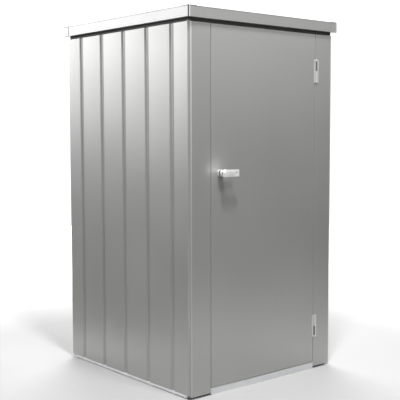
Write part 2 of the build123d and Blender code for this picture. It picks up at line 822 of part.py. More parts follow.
pin_rise = cam_radius * sin(radians(cam_rest_angle))
with BuildPart() as lock_cam:
    with BuildSketch(face_plane(handle_x, handle_z, -cam_end)):
        with Locations(Location((0, 0), cam_rest_angle)):
            SlotCenterToCenter(2 * cam_radius, 2 * cam_half_width)
    extrude(amount=cam_end - cam_start)
    disc(handle_x, handle_z, cam_boss_radius, -cam_start, -journal_end - seat)
    for direction in (-1, 1):
        disc(handle_x + direction * pin_rise, handle_z + direction * pin_rise, cam_pin_radius,
             -cam_start, -cam_pin_start)
    spindle_hole(-cam_end - overrun, 0)
finish(lock_cam, "lock_cam")

with BuildPart() as lock_spacer:
    disc(handle_x, handle_z, cam_boss_radius, -tongue_start, -cam_end)
    spindle_hole(-tongue_start - overrun, 0)
finish(lock_spacer, "lock_spacer")

with BuildPart() as lock_tongue:
    block(handle_x - tongue_width / 2, handle_x + tongue_width / 2, front + tongue_start, front + tongue_end,
          handle_z - tongue_reach, handle_z + tongue_back)
    fillet(lock_tongue.edges().filter_by(Axis.Y), bend)
    spindle_hole(-tongue_end - overrun, 0)
finish(lock_tongue, "lock_tongue")

with BuildPart() as spindle_nut:
    with BuildSketch(face_plane(handle_x, handle_z, -tongue_end - nut_height)):
        RegularPolygon(nut_across_flats / 2, 6, major_radius=False)
        Circle(spindle_thread_radius + pin_clearance, mode=Mode.SUBTRACT)
    extrude(amount=nut_height)
finish(spindle_nut, "spindle_nut")

# Lock rods: flat bars whose slotted ends ride on the cam's pins.
slot_height = 2 * (cam_pin_radius + slot_slack_share * cam_radius + slot_running)
slot_inner = pin_rise - cam_pin_radius - slot_running
slot_outer = cam_radius + cam_pin_radius + slot_running


def lock_rod(rod_x, direction, tip):
    # direction is 1 for the rod that runs up and -1 for the one that runs down.
    yoke_z = handle_z - direction * pin_rise
    yoke_end = yoke_z - direction * yoke_height / 2
    with BuildPart() as rod:
        block(rod_x - rod_width / 2, rod_x + rod_width / 2, front + rod_start, front + rod_end,
              min(yoke_end, tip), max(yoke_end, tip))
        tip_edges = rod.faces().sort_by(Axis.Z)[-1 if direction > 0 else 0].edges().filter_by(Axis.Y)
        chamfer(tip_edges, rod_tip_bevel)
        block(rod_x - yoke_width / 2, rod_x + yoke_width / 2, front + rod_start, front + rod_end,
              yoke_z - yoke_height / 2, yoke_z + yoke_height / 2)
        slot_near = handle_x - direction * slot_inner
        slot_far = handle_x - direction * slot_outer
        block(min(slot_near, slot_far), max(slot_near, slot_far), front + rod_start - overrun / 2,
              front + rod_end + overrun / 2, yoke_z - slot_height / 2, yoke_z + slot_height / 2, Mode.SUBTRACT)
    return rod


finish(lock_rod(upper_rod_x, 1, wall_top - rod_rest_below_top), "upper_rod")
finish(lock_rod(lower_rod_x, -1, door_bottom + rod_rest_above_bottom), "lower_rod")


def rod_guide(rod_x, level):
    with BuildPart() as guide:
        block(rod_x - guide_width / 2, rod_x + guide_width / 2, front + door_sheet, front + guide_end,
              level - guide_height / 2, level + guide_height / 2)
        with Locations((rod_x, rod_y, level)):
            Box(rod_width + 2 * slide_clearance, rod_end - rod_start + 2 * slide_clearance,
                guide_height + overrun, mode=Mode.SUBTRACT)
    return guide


finish(rod_guide(upper_rod_x, wall_top - guide_from_edge), "rod_guide_upper")
finish(rod_guide(lower_rod_x, door_bottom + guide_from_edge), "rod_guide_lower")

# Keepers: plates with a slot on the header and under the sill's tread.
for label, keeper_x, bottom in (
    ("keeper_upper", upper_rod_x, header_top),
    ("keeper_lower", lower_rod_x, sill_height - base_gauge - keeper_thickness),
):
    with BuildPart() as keeper:
        block(keeper_x - keeper_width / 2, keeper_x + keeper_width / 2, front + keeper_front,
              front + keeper_back - base_gauge, bottom, bottom + keeper_thickness)
        with Locations((keeper_x, rod_y, bottom)):
            Box(rod_width + 2 * hole_clearance, rod_end - rod_start + 2 * hole_clearance,
                overrun, mode=Mode.SUBTRACT)
    finish(keeper, label)
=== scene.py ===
# Patio storage cabinet of folded sheet steel: camera, finishes, handle, softly bent sheets and a studio
import json
import math
import bmesh
import bpy
from mathutils import Euler, Matrix, Vector


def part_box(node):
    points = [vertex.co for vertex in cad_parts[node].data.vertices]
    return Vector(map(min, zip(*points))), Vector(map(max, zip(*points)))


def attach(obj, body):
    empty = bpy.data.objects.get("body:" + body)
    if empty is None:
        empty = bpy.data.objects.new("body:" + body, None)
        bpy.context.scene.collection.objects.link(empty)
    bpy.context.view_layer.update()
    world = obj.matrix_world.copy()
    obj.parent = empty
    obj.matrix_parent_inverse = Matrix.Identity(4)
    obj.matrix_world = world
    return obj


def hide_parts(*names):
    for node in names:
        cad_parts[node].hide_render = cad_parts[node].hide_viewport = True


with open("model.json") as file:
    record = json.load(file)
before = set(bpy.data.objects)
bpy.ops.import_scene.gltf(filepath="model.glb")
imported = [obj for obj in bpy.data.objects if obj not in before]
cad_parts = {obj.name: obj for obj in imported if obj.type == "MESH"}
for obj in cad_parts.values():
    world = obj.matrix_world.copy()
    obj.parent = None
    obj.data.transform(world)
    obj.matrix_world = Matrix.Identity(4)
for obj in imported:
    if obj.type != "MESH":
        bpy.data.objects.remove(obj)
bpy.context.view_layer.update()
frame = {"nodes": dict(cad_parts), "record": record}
nodes = frame["nodes"]
bodyOfNode = {name: body for body, names in frame["record"]["behaviour"]["bodies"].items() for name in names}
print("frame loaded:", len(nodes), "nodes")

viewpoint = {
    "place": (-2.9303, -3.5046, 1.2503),
    "turn": -40.0324,     # degrees from looking along +Y
    "tilt": 4.5654,       # degrees below the horizon
    "roll": -0.1125,
    "lens": 75.783,
    "sensor": 36.0,
    "clip": (0.05, 60),
}

camera = bpy.data.objects.new("camera", bpy.data.cameras.new("camera"))
bpy.context.scene.collection.objects.link(camera)
camera.location = viewpoint["place"]
aim = Euler((math.radians(90 - viewpoint["tilt"]), 0, math.radians(viewpoint["turn"]))).to_matrix()
camera.rotation_euler = (aim @ Matrix.Rotation(math.radians(viewpoint["roll"]), 3, "Z")).to_euler()
camera.data.lens = viewpoint["lens"]
camera.data.sensor_width = viewpoint["sensor"]
camera.data.clip_start, camera.data.clip_end = viewpoint["clip"]
camera.data.dof.use_dof = False
bpy.context.scene.camera = camera
bpy.context.scene.view_settings.view_transform = "Standard"
print("camera placed")

# spans of a noise's value over which a tone or a gloss changes
wideSpan = (0.2, 0.8)
middleSpan = (0.25, 0.75)
narrowSpan = (0.3, 0.7)
fullSpan = (0.0, 1.0)
mixInputs = (6, 7)        # the Mix node's two colour inputs
mixResult = 2             # and its colour output


def addNode(tree, kind, inputs=None, **settings):
    node = tree.nodes.new(kind)
    for name, value in settings.items():
        setattr(node, name, value)
    for name, value in (inputs or {}).items():
        node.inputs[name].default_value = value
    return node


def joined(tree, fromNode, output, toNode, socket):
    tree.links.new(fromNode.outputs[output], toNode.inputs[socket])


def ranged(tree, source, output, low, high, toLow, toHigh):
    mapped = addNode(tree, "ShaderNodeMapRange", {"From Min": low, "From Max": high,
                                                  "To Min": toLow, "To Max": toHigh})
    joined(tree, source, output, mapped, "Value")
    return mapped


def combined(tree, first, second, how="ADD"):
    result = addNode(tree, "ShaderNodeMath", operation=how)
    joined(tree, first, 0, result, 0)
    joined(tree, second, 0, result, 1)
    return result


def blended(tree, amount, first, second, output=0):
    # first and second are colours or earlier blends
    mix = addNode(tree, "ShaderNodeMix", data_type="RGBA")
    joined(tree, amount, output, mix, 0)
    for socket, value in zip(mixInputs, (first, second)):
        if isinstance(value, bpy.types.Node):
            joined(tree, value, mixResult, mix, socket)
        else:
            mix.inputs[socket].default_value = (*value, 1)
    return mix


def mottled(tree, parts, dark, light):
    # each part is a node and output, the span of its value, and the share of the light tone at both ends
    amount = ranged(tree, *parts[0])
    for part in parts[1:]:
        amount = combined(tree, amount, ranged(tree, *part))
    return blended(tree, amount, dark, light)


def emptyFinish(name, metal, specular=0.5, lacquer=(0.0, 0.2)):
    # lacquer is the weight and the roughness of a clear coat
    material = bpy.data.materials.new(name)
    material.use_nodes = True
    tree = material.node_tree
    tree.nodes.clear()
    output = tree.nodes.new("ShaderNodeOutputMaterial")
    shader = addNode(tree, "ShaderNodeBsdfPrincipled",
                     {"Metallic": metal, "Specular IOR Level": specular, "Coat Weight": lacquer[0],
                      "Coat Roughness": lacquer[1]})
    joined(tree, shader, "BSDF", output, "Surface")
    place = tree.nodes.new("ShaderNodeTexCoord")
    return material, tree, shader, place


def stretched(tree, place, scale=(1, 1, 1)):
    mapping = addNode(tree, "ShaderNodeMapping", {"Scale": scale})
    joined(tree, place, "Object", mapping, "Vector")
    return mapping


def noiseOn(tree, mapping, scale, detail, rough):
    noise = addNode(tree, "ShaderNodeTexNoise", {"Scale": scale, "Detail": detail, "Roughness": rough})
    joined(tree, mapping, "Vector", noise, "Vector")
    return noise


def towards(tree, source, output, direction, low, high):
    # 0 to 1 as a place or a direction goes from low to high along the given direction
    along = addNode(tree, "ShaderNodeVectorMath", {1: direction}, operation="DOT_PRODUCT")
    joined(tree, source, output, along, 0)
    return ranged(tree, along, "Value", low, high, 0, 1)


edgeWear = {
    "samples": 6,
    "turn": (0.98, 0.70),             # cosine of the turn of the normal where wear starts and is full
}


def edgeMask(tree, reach):
    # 1 along folds and cut edges, where the rounded normal turns away from the true one
    rounded = addNode(tree, "ShaderNodeBevel", {"Radius": reach}, samples=edgeWear["samples"])
    plain = tree.nodes.new("ShaderNodeNewGeometry")
    turn = addNode(tree, "ShaderNodeVectorMath", operation="DOT_PRODUCT")
    joined(tree, rounded, "Normal", turn, 0)
    joined(tree, plain, "Normal", turn, 1)
    return rounded, ranged(tree, turn, "Value", *edgeWear["turn"], 0, 1)


def coloured(tree, shader, tone):
    joined(tree, tone, mixResult, shader, "Base Color")


def glossed(tree, shader, source, output, span, gloss):
    joined(tree, ranged(tree, source, output, *span, *gloss), 0, shader, "Roughness")


def roughened(tree, shader, source, bump, normal=None):
    strength, depth = bump
    grain = addNode(tree, "ShaderNodeBump", {"Strength": strength, "Distance": depth})
    joined(tree, source, "Fac", grain, "Height")
    if normal is not None:
        joined(tree, normal, "Normal", grain, "Normal")
    joined(tree, grain, "Normal", shader, "Normal")


# in each finish a noise is its scale, detail and roughness, and a bump its strength and depth in metres
silverPaint = {
    "dark": (0.345, 0.346, 0.339),
    "light": (0.385, 0.386, 0.378),
    "rim": (0.46, 0.46, 0.45),        # where folds and cut edges have lost a little paint
    "rimReach": 0.0005,
    "metal": 0.50,
    "specular": 0.5,
    "lacquer": (0.05, 0.22),
    "gloss": (0.27, 0.33),
    "streakGloss": (-0.004, 0.004),   # what the streaks add to it
    "flakes": (700.0, 1.0, 0.5),
    "flakeShare": (0.0, 0.15),
    "clouds": (2.2, 1.0, 0.4),
    "cloudShare": (0.0, 0.45),
    "streakScale": (55, 55, 0.25),    # fine upright lines left by the rolls
    "streaks": (1.0, 1.0, 0.5),
    "streakShare": (0.16, 0.22),
    "chips": (60.0, 2.0, 0.6),
    "chipSpan": (0.42, 0.62),
    "chipShare": (0.15, 0.75),
    "bump": (0.07, 0.0001),
}
# the roof's paint is the cabinet's silver paint a little darker, as painted shade against the stronger light
# on the roof
roofPaintPaintedShade = {**silverPaint, "dark": (0.335, 0.337, 0.332), "light": (0.37, 0.372, 0.367)}

# bands of painted highlight, painted shade or a dark seam across an axis; "rise" is the two heights between
# which a band gains strength, and its share at the lower one
bandEdge = 0.0005
everywhere = (0.0, 0.1, 1.0)
jambPaintedHighlight = [      # a painted highlight down the rounded outer corner, fainter lower down
    {"axis": "X", "span": (0.4722, 0.4795), "tone": (0.64, 0.64, 0.63), "rise": (0.3, 1.7, 0.25)},
]
fasciaFoldPaintedShade = [    # painted shade darkens the upper fold
    {"axis": "Z", "span": (1.8198, 1.90), "tone": (0.17, 0.17, 0.17), "rise": everywhere},
]
capSeamAndPaintedHighlight = [       # the dark seam beside the corner, and a painted highlight next to it
    {"axis": "X", "span": (0.5012, 0.5049), "tone": (0.02, 0.02, 0.02), "rise": everywhere},
    {"axis": "X", "span": (0.4936, 0.5008), "tone": (0.66, 0.66, 0.65), "rise": everywhere},
]
grooveCentres = (-0.39, -0.195, 0.0, 0.195, 0.39)
grooveEdgePaintedShade = [      # painted shade along the front edge of each groove, fainter lower down
    {"axis": "Y", "span": (centre - 0.0195, centre + 0.0010), "tone": (0.12, 0.12, 0.12),
     "rise": (0.85, 1.45, 0.12)}
    for centre in grooveCentres
]


def banded(tree, position, band):
    # how strong the band is at a place; along X it counts from the middle to both sides
    source, output = position, band["axis"]
    if output == "X":
        source, output = addNode(tree, "ShaderNodeMath", operation="ABSOLUTE"), 0
        joined(tree, position, "X", source, 0)
    low, high = band["span"]
    within = combined(tree, ranged(tree, source, output, low, low + bandEdge, 0, 1),
                      ranged(tree, source, output, high - bandEdge, high, 1, 0), "MULTIPLY")
    lower, upper, least = band["rise"]
    return combined(tree, within, ranged(tree, position, "Z", lower, upper, least, 1.0), "MULTIPLY")


def paintedSheet(name, values, bands=()):
    material, tree, shader, place = emptyFinish(name, values["metal"], values["specular"], values["lacquer"])
    even = stretched(tree, place)
    flake = noiseOn(tree, even, *values["flakes"])
    cloud = noiseOn(tree, even, *values["clouds"])
    streak = noiseOn(tree, stretched(tree, place, values["streakScale"]), *values["streaks"])
    tone = mottled(tree, [(flake, "Fac", *wideSpan, *values["flakeShare"]),
                          (cloud, "Fac", *wideSpan, *values["cloudShare"]),
                          (streak, "Fac", *wideSpan, *values["streakShare"])],
                   values["dark"], values["light"])
    rounded, mask = edgeMask(tree, values["rimReach"])
    chips = ranged(tree, noiseOn(tree, even, *values["chips"]), "Fac", *values["chipSpan"],
                   *values["chipShare"])
    tone = blended(tree, combined(tree, mask, chips, "MULTIPLY"), tone, values["rim"])
    position = tree.nodes.new("ShaderNodeSeparateXYZ")
    joined(tree, even, "Vector", position, "Vector")
    for band in bands:
        tone = blended(tree, banded(tree, position, band), tone, band["tone"])
    coloured(tree, shader, tone)
    gloss = combined(tree, ranged(tree, cloud, "Fac", *wideSpan, *values["gloss"]),
                     ranged(tree, streak, "Fac", *wideSpan, *values["streakGloss"]))
    joined(tree, gloss, 0, shader, "Roughness")
    roughened(tree, shader, streak, values["bump"], rounded)
    return material


zincCoat = {
    "dark": (0.36, 0.37, 0.375),
    "light": (0.60, 0.61, 0.62),
    "metal": 0.95,
    "gloss": (0.34, 0.56),
    "spangle": 70.0,                  # crystals about 14 mm across
    "spangleShare": (0.0, 0.6),
    "frost": (420.0, 3.0, 0.5),
    "frostShare": (0.0, 0.4),
    "bump": (0.25, 0.00008),
    "edge": 0.001,
    "edgeSamples": 4,
}


def galvanisedSteel(name, values):
    material, tree, shader, place = emptyFinish(name, values["metal"])
    even = stretched(tree, place)
    crystals = addNode(tree, "ShaderNodeTexVoronoi", {"Scale": values["spangle"], "Randomness": 1.0})
    joined(tree, even, "Vector", crystals, "Vector")
    shade = addNode(tree, "ShaderNodeRGBToBW")
    joined(tree, crystals, "Color", shade, "Color")
    frost = noiseOn(tree, even, *values["frost"])
    coloured(tree, shader, mottled(tree, [(shade, 0, *fullSpan, *values["spangleShare"]),
                                          (frost, "Fac", *narrowSpan, *values["frostShare"])],
                                   values["dark"], values["light"]))
    glossed(tree, shader, shade, 0, fullSpan, values["gloss"])
    rounded = addNode(tree, "ShaderNodeBevel", {"Radius": values["edge"]}, samples=values["edgeSamples"])
    roughened(tree, shader, frost, values["bump"], rounded)
    return material


drawnSurface = {
    "hair": (1.0, 3.0, 0.6),
    "hairShare": (0.0, 0.65),
    "clouds": (18.0, 3.0, 0.6),
    "cloudShare": (0.0, 0.35),
    "edge": 0.0008,
    "wear": (0.0, 0.7),
    "bump": (0.22, 0.00004),
}


def drawnMetal(name, dark, light, gloss, lines, metal, rim=None):
    # rolled or brushed metal: fine lines that follow the long direction of the piece
    material, tree, shader, place = emptyFinish(name, metal)
    hair = noiseOn(tree, stretched(tree, place, lines), *drawnSurface["hair"])
    cloud = noiseOn(tree, stretched(tree, place), *drawnSurface["clouds"])
    tone = mottled(tree, [(hair, "Fac", *middleSpan, *drawnSurface["hairShare"]),
                          (cloud, "Fac", *narrowSpan, *drawnSurface["cloudShare"])], dark, light)
    rounded, mask = edgeMask(tree, drawnSurface["edge"])
    wear = ranged(tree, mask, 0, *fullSpan, *drawnSurface["wear"])
    coloured(tree, shader, blended(tree, wear, tone, rim or light))
    glossed(tree, shader, hair, "Fac", middleSpan, gloss)
    roughened(tree, shader, hair, drawnSurface["bump"], rounded)
    return material


shaftAxis = (-0.3015, 1.060)          # x and z of the handle's shaft
castSurface = {
    "metal": 0.45,
    "specular": 0.5,
    "lacquer": (0.25, 0.25),
    "gloss": (0.30, 0.42),
    "grain": (1900.0, 3.0, 0.5),
    "grainShare": (0.0, 0.5),
    "clouds": (45.0, 3.0, 0.6),
    "cloudShare": (0.0, 0.5),
    "edge": 0.0007,
    "wear": (0.0, 0.6),
    "bump": (0.2, 0.00005),
    "shade": (0.07, 0.07, 0.072),     # painted shade on the faces and necks round the shaft
    "paintedShadeEnd": (0.0142, 0.0152),     # radii between which it gives way to the bright rims
}


def castHandleMetal(name, dark, light, paintedShadeRound=None):
    # bright satin die casting with a clear lacquer and fine blasted grain, with painted shade round the
    # shaft where asked
    material, tree, shader, place = emptyFinish(name, castSurface["metal"], castSurface["specular"],
                                                castSurface["lacquer"])
    even = stretched(tree, place)
    grain = noiseOn(tree, even, *castSurface["grain"])
    cloud = noiseOn(tree, even, *castSurface["clouds"])
    tone = mottled(tree, [(grain, "Fac", *narrowSpan, *castSurface["grainShare"]),
                          (cloud, "Fac", *narrowSpan, *castSurface["cloudShare"])], dark, light)
    rounded, mask = edgeMask(tree, castSurface["edge"])
    tone = blended(tree, ranged(tree, mask, 0, *fullSpan, *castSurface["wear"]), tone, light)
    # painted shade: dark near the shaft, giving way to the bright rims further out
    if paintedShadeRound:
        x, z = paintedShadeRound
        centred = addNode(tree, "ShaderNodeVectorMath", {1: (x, 0, z)}, operation="SUBTRACT")
        flat = addNode(tree, "ShaderNodeVectorMath", {1: (1, 0, 1)}, operation="MULTIPLY")
        radius = addNode(tree, "ShaderNodeVectorMath", operation="LENGTH")
        joined(tree, even, "Vector", centred, 0)
        joined(tree, centred, "Vector", flat, 0)
        joined(tree, flat, "Vector", radius, 0)
        tone = blended(tree, ranged(tree, radius, "Value", *castSurface["paintedShadeEnd"], 0, 1),
                       castSurface["shade"], tone)
    coloured(tree, shader, tone)
    glossed(tree, shader, cloud, "Fac", narrowSpan, castSurface["gloss"])
    roughened(tree, shader, grain, castSurface["bump"], rounded)
    return material


mouldedSurface = {
    "specular": 0.4,
    "gloss": (0.48, 0.64),
    "grain": (900.0, 3.0, 0.6),
    "grainShare": (0.0, 0.5),
    "clouds": (60.0, 2.0, 0.5),
    "cloudShare": (0.0, 0.5),
    "bump": (0.3, 0.00008),
}


def nylon(name, dark, light):
    material, tree, shader, place = emptyFinish(name, 0.0, mouldedSurface["specular"])
    even = stretched(tree, place)
    grain = noiseOn(tree, even, *mouldedSurface["grain"])
    cloud = noiseOn(tree, even, *mouldedSurface["clouds"])
    coloured(tree, shader, mottled(tree, [(grain, "Fac", *narrowSpan, *mouldedSurface["grainShare"]),
                                          (cloud, "Fac", *narrowSpan, *mouldedSurface["cloudShare"])],
                                   dark, light))
    glossed(tree, shader, grain, "Fac", narrowSpan, mouldedSurface["gloss"])
    roughened(tree, shader, grain, mouldedSurface["bump"])
    return material


# metals and nylons: dark and light tone; the drawn ones then have their gloss, the scale of their lines
# and how metallic they are
finishes = {
    "cabinet_paint": paintedSheet("silverCabinetPaint", silverPaint),
    "roof_paint": paintedSheet("silverRoofPaint", roofPaintPaintedShade),
    # the fascias carry painted shade on their upper fold
    "fascia_paint_painted_shade": paintedSheet("silverFasciaPaintPaintedShade", roofPaintPaintedShade, fasciaFoldPaintedShade),
    # the corner caps carry painted shade on the upper fold, a dark seam, and a painted highlight beside the
    # corner
    "cap_paint_seam_and_painted_light": paintedSheet("silverCapPaintSeamAndPaintedLight", roofPaintPaintedShade, fasciaFoldPaintedShade + capSeamAndPaintedHighlight),
    # the jambs carry a painted highlight down their rounded outer corners
    "jamb_paint_painted_highlight": paintedSheet("silverJambPaintPaintedHighlight", silverPaint, jambPaintedHighlight),
    # the side walls carry painted shade along the front edge of each groove
    "wall_paint_painted_shade": paintedSheet("silverWallPaintPaintedShade", silverPaint, grooveEdgePaintedShade),
    "frame_zinc": galvanisedSteel("galvanisedFrame", zincCoat),
    "base_aluminium": drawnMetal("milledBaseAluminium", (0.64, 0.65, 0.66), (0.79, 0.80, 0.81),
                                 (0.28, 0.42), (3, 260, 260), 0.8),
    # the side rails take a brighter, less metallic copy of the base aluminium: painted light on their strip
    # in the shade under the walls
    "base_aluminium_long_painted_light": drawnMetal("milledSideAluminiumPaintedLight", (0.84, 0.85, 0.86), (0.93, 0.94, 0.95),
                                      (0.28, 0.42), (260, 3, 260), 0.5),
    "hinge_steel": drawnMetal("satinHingeSteel", (0.54, 0.54, 0.53), (0.66, 0.66, 0.65),
                              (0.30, 0.42), (900, 900, 30), 0.45, rim=(0.80, 0.80, 0.79)),
    # the cap's screw takes a brighter, less metallic copy of the screw steel: painted light against the
    # shade of its recess
    "cap_screw_steel_painted_light": drawnMetal("capScrewSteelPaintedLight", (0.66, 0.66, 0.65), (0.80, 0.80, 0.79),
                                  (0.30, 0.42), (900, 900, 900), 0.6),
    "lock_steel": drawnMetal("platedLockSteel", (0.50, 0.50, 0.47), (0.68, 0.68, 0.64),
                             (0.26, 0.40), (700, 700, 25), 1.0),
    "screw_steel": drawnMetal("platedScrewSteel", (0.42, 0.42, 0.41), (0.60, 0.60, 0.58),
                              (0.25, 0.40), (900, 900, 900), 1.0),
    "handle_aluminium": castHandleMetal("castHandleMetal", (0.78, 0.78, 0.775), (0.90, 0.90, 0.89)),
    # the hub and rose take a darker copy of the handle metal as painted shade, with painted shade round the
    # shaft
    "hub_aluminium_painted_shade": castHandleMetal("castHubMetalPaintedShade", (0.58, 0.58, 0.575), (0.70, 0.70, 0.69), shaftAxis),
    "dark_polymer": nylon("blackNylon", (0.018, 0.018, 0.019), (0.045, 0.045, 0.047)),
    # the ventilation strip is a dark sheet standing in for the shade in the gap under the roof: painted
    # shade
    "strip_polymer_painted_shade": nylon("ventilationStripNylonPaintedShade", (0.050, 0.050, 0.048), (0.085, 0.085, 0.080)),
    "bush_polymer": nylon("greyBushNylon", (0.085, 0.085, 0.087), (0.13, 0.13, 0.133)),
}
print("finishes made:", len(finishes))

foldAngle = math.radians(32)          # a sharper angle is an edge, a smaller one belongs to a bend
flatAngle = math.radians(0.4)
mergeReach = 0.000002


def solidFrom(name, bm):
    mesh = bpy.data.meshes.new(name)
    bm.to_mesh(mesh)
    bm.free()
    solid = bpy.data.objects.new(name, mesh)
    bpy.context.scene.collection.objects.link(solid)
    return solid


def newPiece(name, bm, finish, body, nodeName):
    piece = solidFrom(name, bm)
    piece.data.materials.append(finishes[finish])
    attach(piece, body)
    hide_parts(nodeName)
    return piece


def shadedByAngle(bm):
    # soft across the bends, crisp across the folds
    for face in bm.faces:
        face.smooth = True
    for edge in bm.edges:
        edge.smooth = len(edge.link_faces) == 2 and edge.calc_face_angle(0) < foldAngle


def foldEdges(bm):
    return [edge for edge in bm.edges if len(edge.link_faces) == 2 and edge.calc_face_angle(0) > foldAngle]


def bevelled(bm, edges, offset, segments, clamped=False):
    bmesh.ops.bevel(bm, geom=edges, offset=offset, segments=segments, profile=0.5, affect="EDGES",
                    material=-1, clamp_overlap=clamped)


def roundedEdges(piece, width, segments=2):
    bevel = piece.modifiers.new("edges", "BEVEL")
    bevel.width = width
    bevel.segments = segments
    bevel.limit_method = "ANGLE"
    bevel.angle_limit = foldAngle
    bevel.use_clamp_overlap = True
    bevel.harden_normals = False


def turned(profile, centre, steps, edge=0.0):
    # spins a profile of (radius, y) points round the Y axis through centre (x, z)
    x, z = centre
    bm = bmesh.new()
    points = [bm.verts.new((x + radius, y, z)) for radius, y in profile]
    line = [bm.edges.new(pair) for pair in zip(points, points[1:])]
    bmesh.ops.spin(bm, geom=points + line, cent=(x, 0, z), axis=(0, 1, 0), angle=2 * math.pi, steps=steps,
                   use_merge=True, use_duplicate=False)
    bmesh.ops.remove_doubles(bm, verts=bm.verts, dist=mergeReach)
    bmesh.ops.recalc_face_normals(bm, faces=bm.faces)
    if edge:
        bevelled(bm, foldEdges(bm), edge, 2, clamped=True)
    shadedByAngle(bm)
    return bm


def cutAway(piece, cutter):
    # takes the cutter's shape out of the piece and lets the cutter go
    boolean = piece.modifiers.new("recess", "BOOLEAN")
    boolean.operation = "DIFFERENCE"
    boolean.solver = "EXACT"
    boolean.object = cutter
    bpy.context.view_layer.update()
    evaluated = piece.evaluated_get(bpy.context.evaluated_depsgraph_get())
    carved = bpy.data.meshes.new_from_object(evaluated)
    piece.modifiers.clear()
    old = piece.data
    piece.data = carved
    bpy.data.meshes.remove(old)
    bpy.data.objects.remove(cutter)


handle = {
    "front": -0.521,                  # the door's outer face
    "steps": 96,
    "radius": 0.0170,                 # of the rose and of the hub's collar
    "edge": 0.0007,
    "roseFoot": 0.0002,
    "roseTop": 0.0095,
    "roseBore": 0.0080,
    "roseSlope": (0.0009, 0.0008),    # how far the rim leans in, and over what height
    "roseEdge": 0.00035,
    "footRadius": 0.0078,             # of the hub inside the rose
    "footInside": 0.0001,
    "neckRadius": 0.0086,
    "neckStep": 0.0004,
    "collar": (0.0182, 0.0325),
    "hubEnd": 0.0400,
    "endCorner": 0.00224,             # rounding of the lever's and the cap's outer corners
    "endReach": 0.001,
    "leverRim": 0.0009,
    "capRim": 0.0006,
}


def outward(distance):
    return handle["front"] - distance


def roseDisc():
    radius, bore = handle["radius"], handle["roseBore"]
    foot, top = outward(handle["roseFoot"]), outward(handle["roseTop"])
    lean, height = handle["roseSlope"]
    profile = [(bore, foot), (radius, foot), (radius, top + height), (radius - lean, top), (bore, top),
               (bore, foot)]
    return turned(profile, shaftAxis, handle["steps"], handle["roseEdge"])


def steppedHub():
    radius, neck, foot = handle["radius"], handle["neckRadius"], handle["footRadius"]
    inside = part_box("handle_hub")[1].y - handle["footInside"]
    top = handle["roseTop"]
    low, high = handle["collar"]
    end = outward(handle["hubEnd"])
    profile = [(0.0, inside), (foot, inside), (foot, outward(top)),
               (neck, outward(top + handle["neckStep"])), (neck, outward(low)), (radius, outward(low)),
               (radius, outward(high)), (neck, outward(high)), (neck, end), (0.0, end)]
    return turned(profile, shaftAxis, handle["steps"], handle["edge"])


def slabRoundedAt(low, high, endX):
    # a slab from corner to corner whose corners at one end are rounded
    bm = bmesh.new()
    middle, size = (high + low) / 2, high - low
    bmesh.ops.create_cube(bm, size=1.0, matrix=Matrix.Translation(middle) @ Matrix.Diagonal((*size, 1)))
    corners = []
    for edge in bm.edges:
        start, end = (vertex.co for vertex in edge.verts)
        if abs(start.y - end.y) > size.y / 2 and abs(start.x - endX) < handle["endReach"]:
            corners.append(edge)
    bevelled(bm, corners, handle["endCorner"], 5)
    return bm


def leverSlab():
    low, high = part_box("handle_lever")
    bm = slabRoundedAt(low, high, low.x)
    bevelled(bm, foldEdges(bm), handle["leverRim"], 3)
    shadedByAngle(bm)
    return bm


def endCapSlab():
    low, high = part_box("handle_end_cap")
    return slabRoundedAt(low, high, high.x)


newPiece("handle_rose_disc", roseDisc(), "hub_aluminium_painted_shade", "door", "handle_rose")
newPiece("handle_stepped_hub", steppedHub(), "hub_aluminium_painted_shade", "handle", "handle_hub")
newPiece("handle_lever_bar", leverSlab(), "handle_aluminium", "handle", "handle_lever")
capPiece = newPiece("handle_cap_block", endCapSlab(), "handle_aluminium", "handle",
                    "handle_end_cap")

# depths are counted from the cap's front
endScrew = {
    "steps": 48,
    "headRadius": 0.0045,
    "headTop": 0.0006,
    "headFoot": 0.0020,
    "shankRadius": 0.0025,
    "shankEnd": 0.0068,
    "edge": 0.0003,
    "play": 0.0003,                   # round the head, in the cap's recess
    "recessFloor": 0.0022,
    "boreRadius": 0.0026,
    "boreEnd": 0.0075,
    "cutterTop": -0.004,
    "socketRadius": 0.0024,
    "socketHeight": 0.003,            # half of it cuts into the head
    "socketEdge": 0.00015,
}
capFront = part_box("handle_end_cap")[0].y
screwLow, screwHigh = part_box("handle_end_screw")
screwCentre = ((screwLow.x + screwHigh.x) / 2, (screwLow.z + screwHigh.z) / 2)


def inCap(*points):
    # radii and names of depths, as a profile of (radius, y) points
    return [(radius, capFront + endScrew[depth]) for radius, depth in points]


def screwRecess():
    wide, narrow = endScrew["headRadius"] + endScrew["play"], endScrew["boreRadius"]
    return turned(inCap((0.0, "cutterTop"), (wide, "cutterTop"), (wide, "recessFloor"),
                        (narrow, "recessFloor"), (narrow, "boreEnd"), (0.0, "boreEnd")),
                  screwCentre, endScrew["steps"])


def socketScrew():
    head, shank = endScrew["headRadius"], endScrew["shankRadius"]
    return turned(inCap((0.0, "shankEnd"), (shank, "shankEnd"), (shank, "headFoot"), (head, "headFoot"),
                        (head, "headTop"), (0.0, "headTop")),
                  screwCentre, endScrew["steps"], endScrew["edge"])


def hexagonSocket():
    bm = bmesh.new()
    place = Matrix.Translation((screwCentre[0], capFront + endScrew["headTop"], screwCentre[1]))
    bmesh.ops.create_cone(bm, cap_ends=True, segments=6, radius1=endScrew["socketRadius"],
                          radius2=endScrew["socketRadius"], depth=endScrew["socketHeight"],
                          matrix=place @ Matrix.Rotation(math.radians(90), 4, "X"))
    return bm


